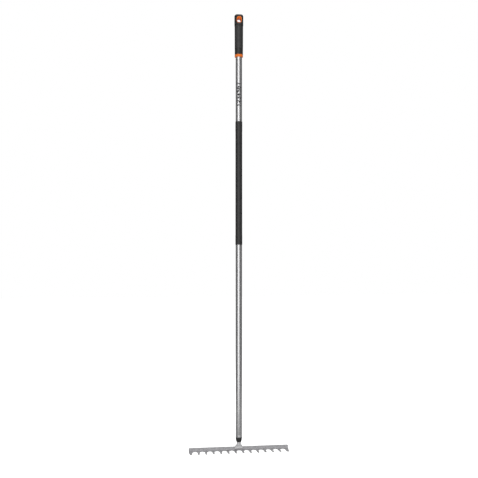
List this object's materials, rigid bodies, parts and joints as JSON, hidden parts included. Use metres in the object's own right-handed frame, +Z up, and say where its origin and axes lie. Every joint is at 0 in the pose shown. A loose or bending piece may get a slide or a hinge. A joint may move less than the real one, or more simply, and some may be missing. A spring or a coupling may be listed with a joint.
{
  "type": "garden rake",
  "caption": "Long-handled garden rake: a tube shaft with a soft end grip and a hanging eye, and a pressed steel comb whose short teeth point forward.",
  "frame": {"origin": "centre of the round bore of the hanging eye", "axes": "+Z up the shaft axis towards the end cap, -Y to the front where the teeth point, +X to the right seen from the front"},
  "size_m": [0.378, 0.0682, 1.645],
  "materials": {
    "cap_plastic": "fine moulded texture",
    "orange_plastic": "satin, coloured right through",
    "soft_cover": "soft matt",
    "tube_aluminium": "drawn and clear anodised, satin",
    "sleeve_plastic": "matt shrink sleeve",
    "bush_plastic": "moulded",
    "rivet_steel": "bright zinc plate",
    "tang_steel": "forged and zinc plated",
    "comb_steel": "thin grey coating over pressed steel",
    "weld_steel": "plated over, rippled"
  },
  "bodies": {
    "root": {"end_cap": "cap_plastic", "hanger_eyelet": "orange_plastic", "grip_core": "orange_plastic", "grip_cover": "soft_cover", "grip_collar": "cap_plastic", "shaft_tube": "tube_aluminium", "centre_sleeve": "sleeve_plastic", "tang_bush": "bush_plastic", "tang_rivet": "rivet_steel", "head_tang": "tang_steel", "rake_comb": "comb_steel", "weld_front": "weld_steel", "weld_back": "weld_steel"}
  },
  "joints": []
}
